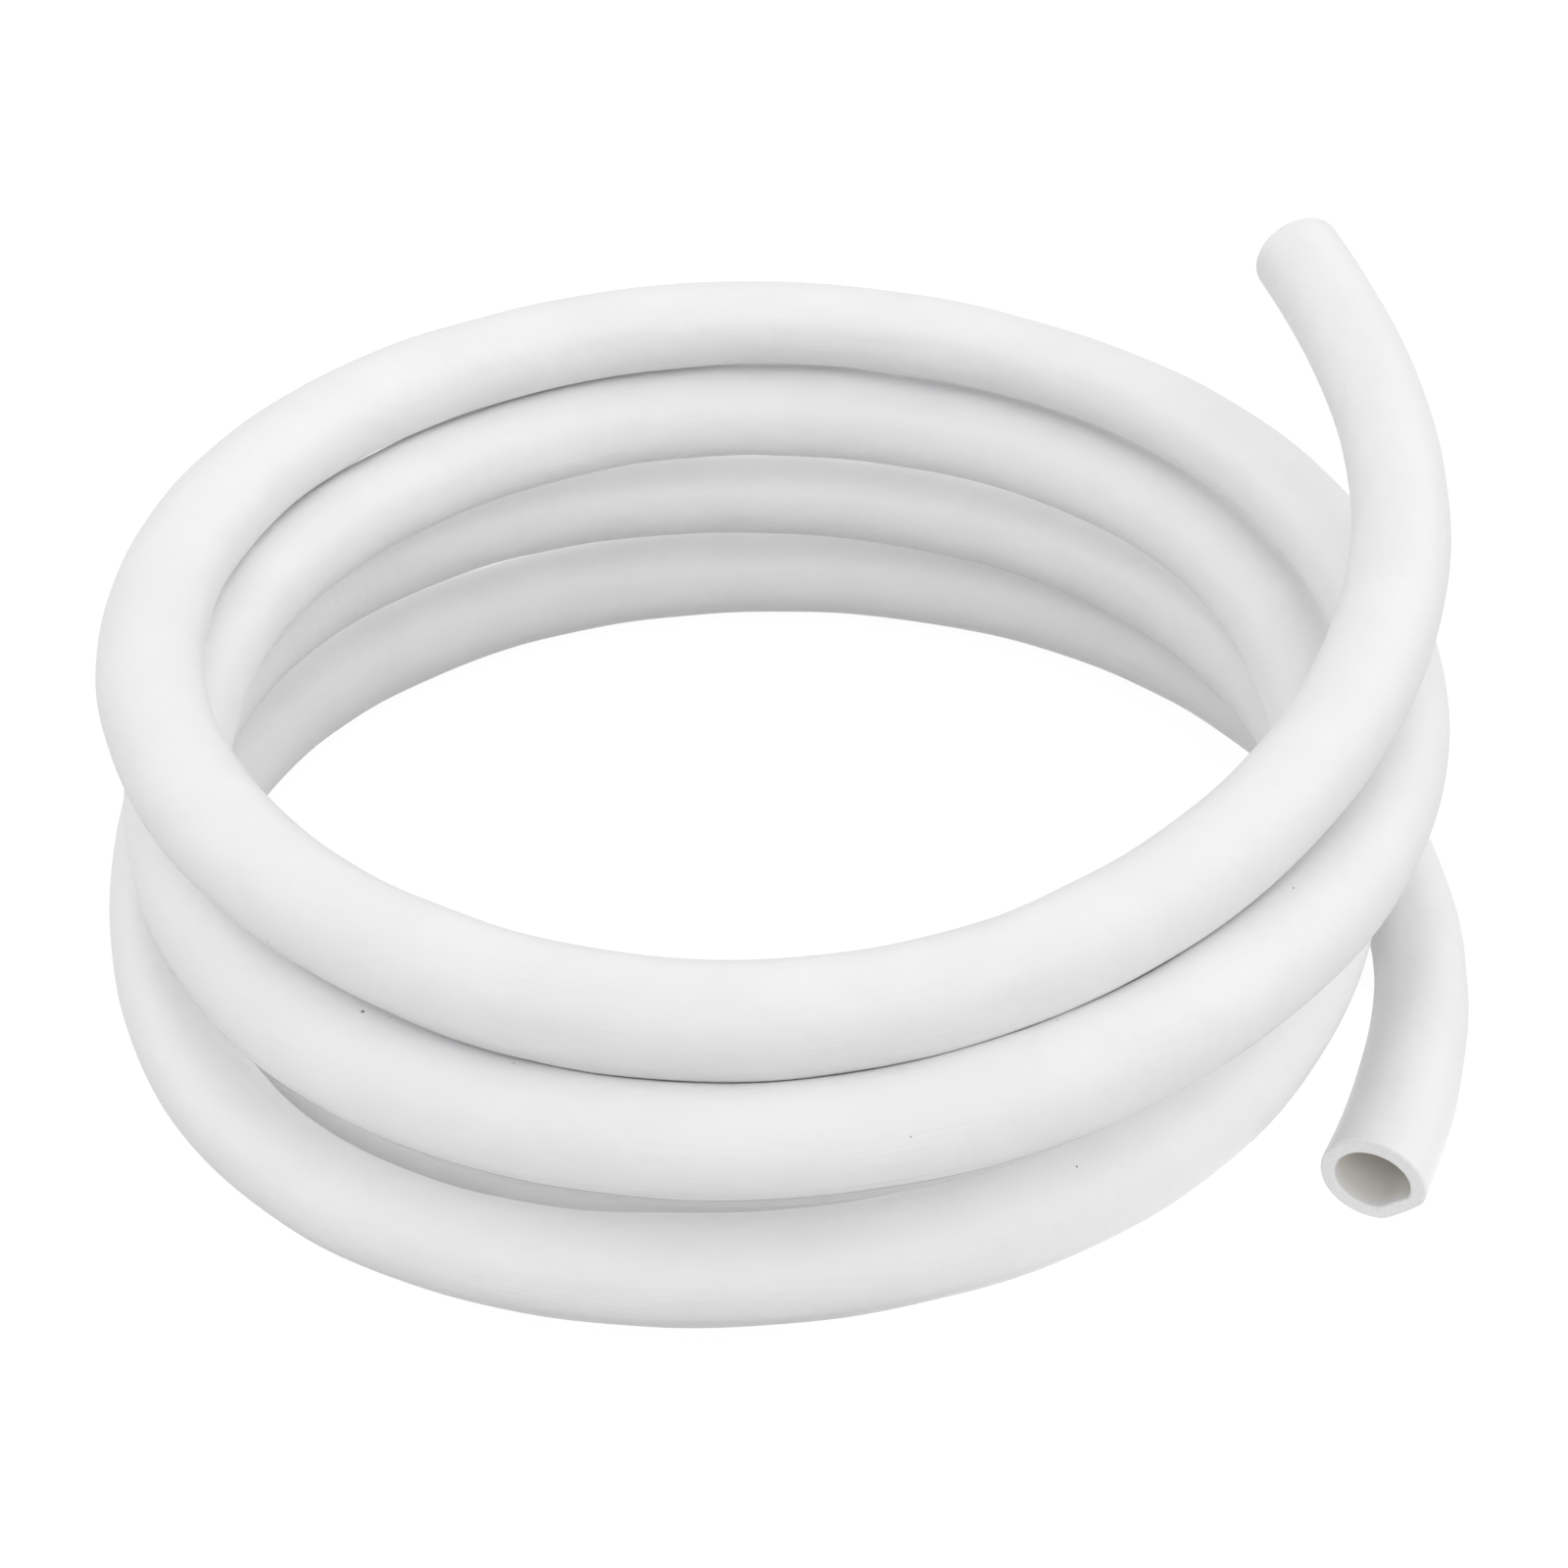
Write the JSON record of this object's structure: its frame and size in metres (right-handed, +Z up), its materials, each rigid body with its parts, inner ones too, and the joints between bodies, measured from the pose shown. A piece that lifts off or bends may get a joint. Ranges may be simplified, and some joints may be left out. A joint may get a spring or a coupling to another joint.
{
  "type": "pool hose",
  "caption": "Smooth white flexible hose for pool and spa water, lying in a loose coil, with plain square-cut open ends.",
  "frame": {"origin": "middle of the coil's footprint, on the surface that the coil stands on", "axes": "+Z up, -Y to the front, with the lower free end running off to the front on the +X side"},
  "size_m": [0.267, 0.2679, 0.1255],
  "materials": {
    "white_vinyl": "smooth satin flexible vinyl"
  },
  "bodies": {
    "root": {"hose_upper_end": "white_vinyl", "hose_turn_1": "white_vinyl", "hose_turn_2": "white_vinyl", "hose_turn_3": "white_vinyl", "hose_turn_4": "white_vinyl", "hose_lower_end": "white_vinyl"}
  },
  "joints": []
}
